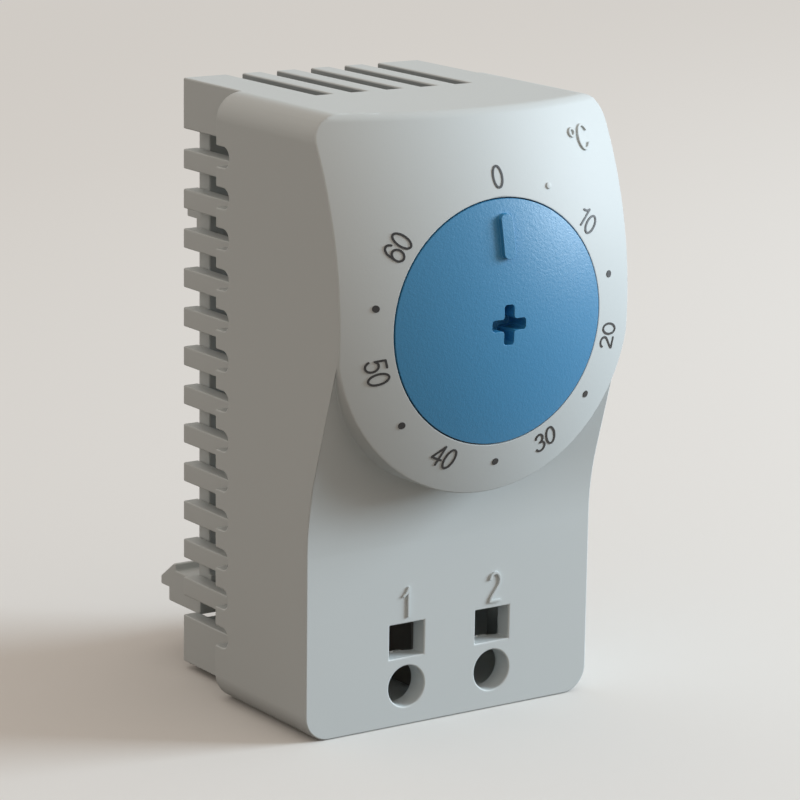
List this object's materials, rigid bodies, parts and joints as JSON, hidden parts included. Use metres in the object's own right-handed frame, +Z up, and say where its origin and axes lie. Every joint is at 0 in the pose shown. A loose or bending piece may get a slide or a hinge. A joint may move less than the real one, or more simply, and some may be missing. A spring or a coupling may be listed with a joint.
{
  "type": "DIN rail thermostat",
  "caption": "Compact cabinet thermostat for a 35 mm top-hat rail, with a blue setting dial in a domed face, vented sides, a sprung rail latch and push-in wire terminals.",
  "frame": {"origin": "centre of the rail seat: on the plane that rests on the rail's flanges, at the rail's centre line", "axes": "+Y into the panel, away from the dial; +Z up; +X to the right for a person facing the dial"},
  "size_m": [0.033, 0.0436, 0.06],
  "materials": {
    "housing_grey": "light grey moulded plastic, fine matt texture",
    "plate_grey": "light grey moulded plastic",
    "latch_grey": "light grey moulded plastic",
    "frame_grey": "dark grey moulded plastic",
    "dial_blue": "blue moulded plastic, fine grain",
    "washer_white": "natural plastic",
    "steel": "zinc-plated steel",
    "spring_steel": "drawn spring wire",
    "stainless": "stainless spring strip",
    "bimetal": "rolled bimetal strip",
    "brass": "stamped brass",
    "silver": "silver contact alloy",
    "magnet": "sintered magnet"
  },
  "bodies": {
    "case": {"housing": "housing_grey", "back_plate": "plate_grey", "mechanism_frame": "frame_grey", "frame_screws": "steel", "latch_spring": "spring_steel", "friction_washer": "washer_white", "pivot_pin": "steel", "return_spring": "spring_steel", "snap_magnet": "magnet", "fixed_contact": "silver", "terminal_bar_1": "brass", "terminal_bar_2": "brass"},
    "dial": {"dial": "dial_blue", "dial_clip": "stainless"},
    "spindle": {"setting_spindle": "brass"},
    "lever": {"setting_lever": "steel", "calibration_screw": "brass"},
    "bimetal": {"bimetal_foot": "steel", "bimetal_strip": "bimetal", "foot_rivets": "brass", "moving_contact": "silver", "armature": "steel"},
    "latch": {"rail_latch": "latch_grey"},
    "clamp_1": {"clamp_spring_1": "stainless"},
    "clamp_2": {"clamp_spring_2": "stainless"}
  },
  "joints": [
    {"name": "dial_turn", "type": "hinge", "parent": "case", "child": "dial", "pos_m": [0, -0.0352, 0.014], "axis": [0, 1, 0], "range_deg": [0, 308.6]},
    {"name": "spindle_feed", "type": "slide", "parent": "dial", "child": "spindle", "axis": [0, 1, 0], "range_m": [0, 0.00087]},
    {"name": "lever_tilt", "type": "hinge", "parent": "case", "child": "lever", "pos_m": [0, -0.0141, 0.0256], "axis": [1, 0, 0], "range_deg": [0, 4.4], "deforming": ["return_spring"]},
    {"name": "bimetal_bend", "type": "hinge", "parent": "lever", "child": "bimetal", "pos_m": [0, -0.0141, 0.0256], "axis": [1, 0, 0], "range_deg": [0, 2.5], "stiffness_Nm_per_rad": 0.03, "springref_deg": -5.73},
    {"name": "latch_slide", "type": "slide", "parent": "case", "child": "latch", "axis": [0, 0, -1], "range_m": [0, 0.0022], "stiffness_N_per_m": 800, "springref_m": -0.001, "deforming": ["latch_spring"]},
    {"name": "clamp_1_press", "type": "hinge", "parent": "case", "child": "clamp_1", "pos_m": [-0.005, -0.0238, -0.0154], "axis": [1, 0, 0], "range_deg": [0, 20], "stiffness_Nm_per_rad": 0.03, "springref_deg": -11.46},
    {"name": "clamp_2_press", "type": "hinge", "parent": "case", "child": "clamp_2", "pos_m": [0.005, -0.0238, -0.0154], "axis": [1, 0, 0], "range_deg": [0, 20], "stiffness_Nm_per_rad": 0.03, "springref_deg": -11.46}
  ],
  "couplings": [
    {"joint": "spindle_feed", "follows": "dial_turn", "m_per_rad": 0.00015915},
    {"joint": "lever_tilt", "follows": "dial_turn", "ratio": 0.013869}
  ]
}
